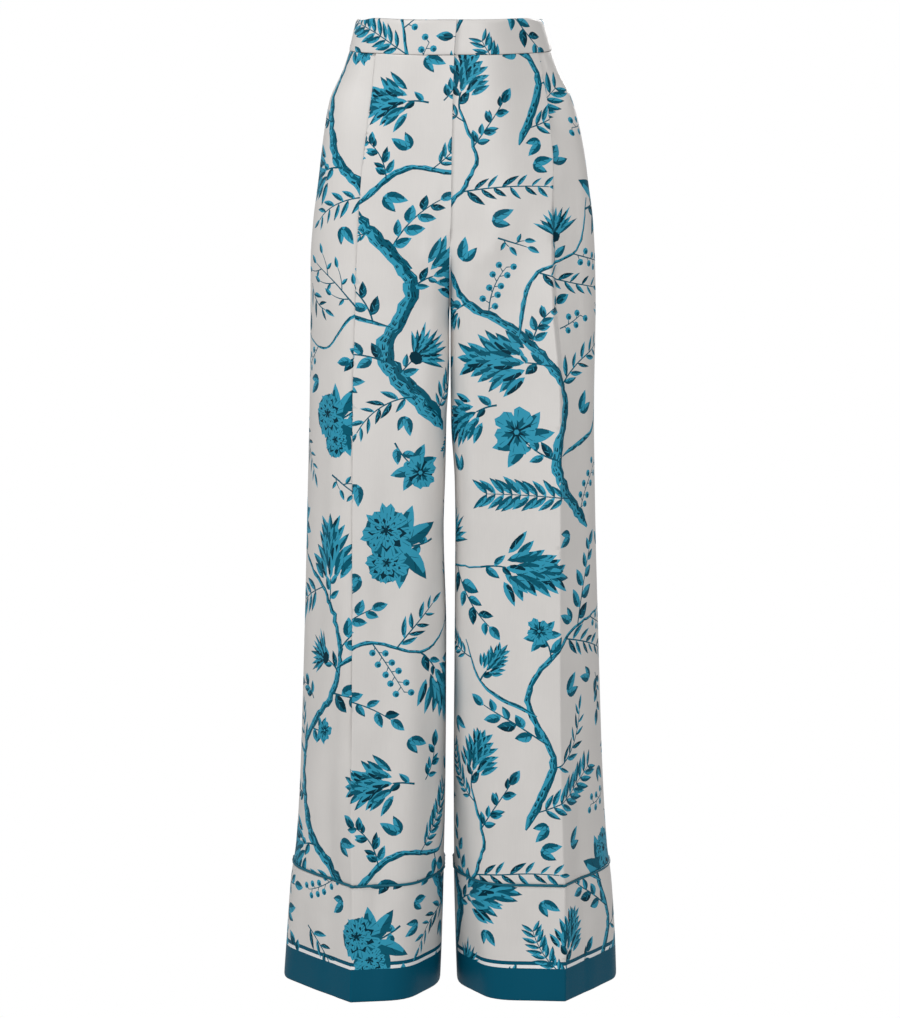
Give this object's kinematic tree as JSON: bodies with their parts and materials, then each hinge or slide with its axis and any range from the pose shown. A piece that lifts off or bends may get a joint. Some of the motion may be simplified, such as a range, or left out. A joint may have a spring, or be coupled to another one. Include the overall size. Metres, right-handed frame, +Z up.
{
  "type": "pyjama trousers",
  "caption": "High-waisted wide-leg pyjama trousers with a lapped fly, pleated fronts, piped hem cuffs and an open waist and hems, in their worn hollow form.",
  "frame": {"origin": "centre of the waist, at the middle of the waistband's height, where the wearer's waist holds the garment", "axes": "+Z up along the body, the front faces -Y, the wearer's right leg is at -X and the left leg at +X"},
  "size_m": [0.3931, 0.2597, 1.1243],
  "materials": {
    "printed_satin": "satin, pale ground with a teal botanical print",
    "cuff_satin": "satin, printed above a solid teal hem band",
    "piping_satin": "satin-covered cord, dark teal"
  },
  "bodies": {
    "root": {"waistband_front_right": "printed_satin", "waistband_front_left": "printed_satin", "waistband_back": "printed_satin", "leg_front_right": "printed_satin", "leg_front_left": "printed_satin", "leg_back_right": "printed_satin", "leg_back_left": "printed_satin", "cuff_front_right": "cuff_satin", "cuff_front_left": "cuff_satin", "cuff_back_right": "cuff_satin", "cuff_back_left": "cuff_satin", "piping_right": "piping_satin", "piping_left": "piping_satin"}
  },
  "joints": []
}
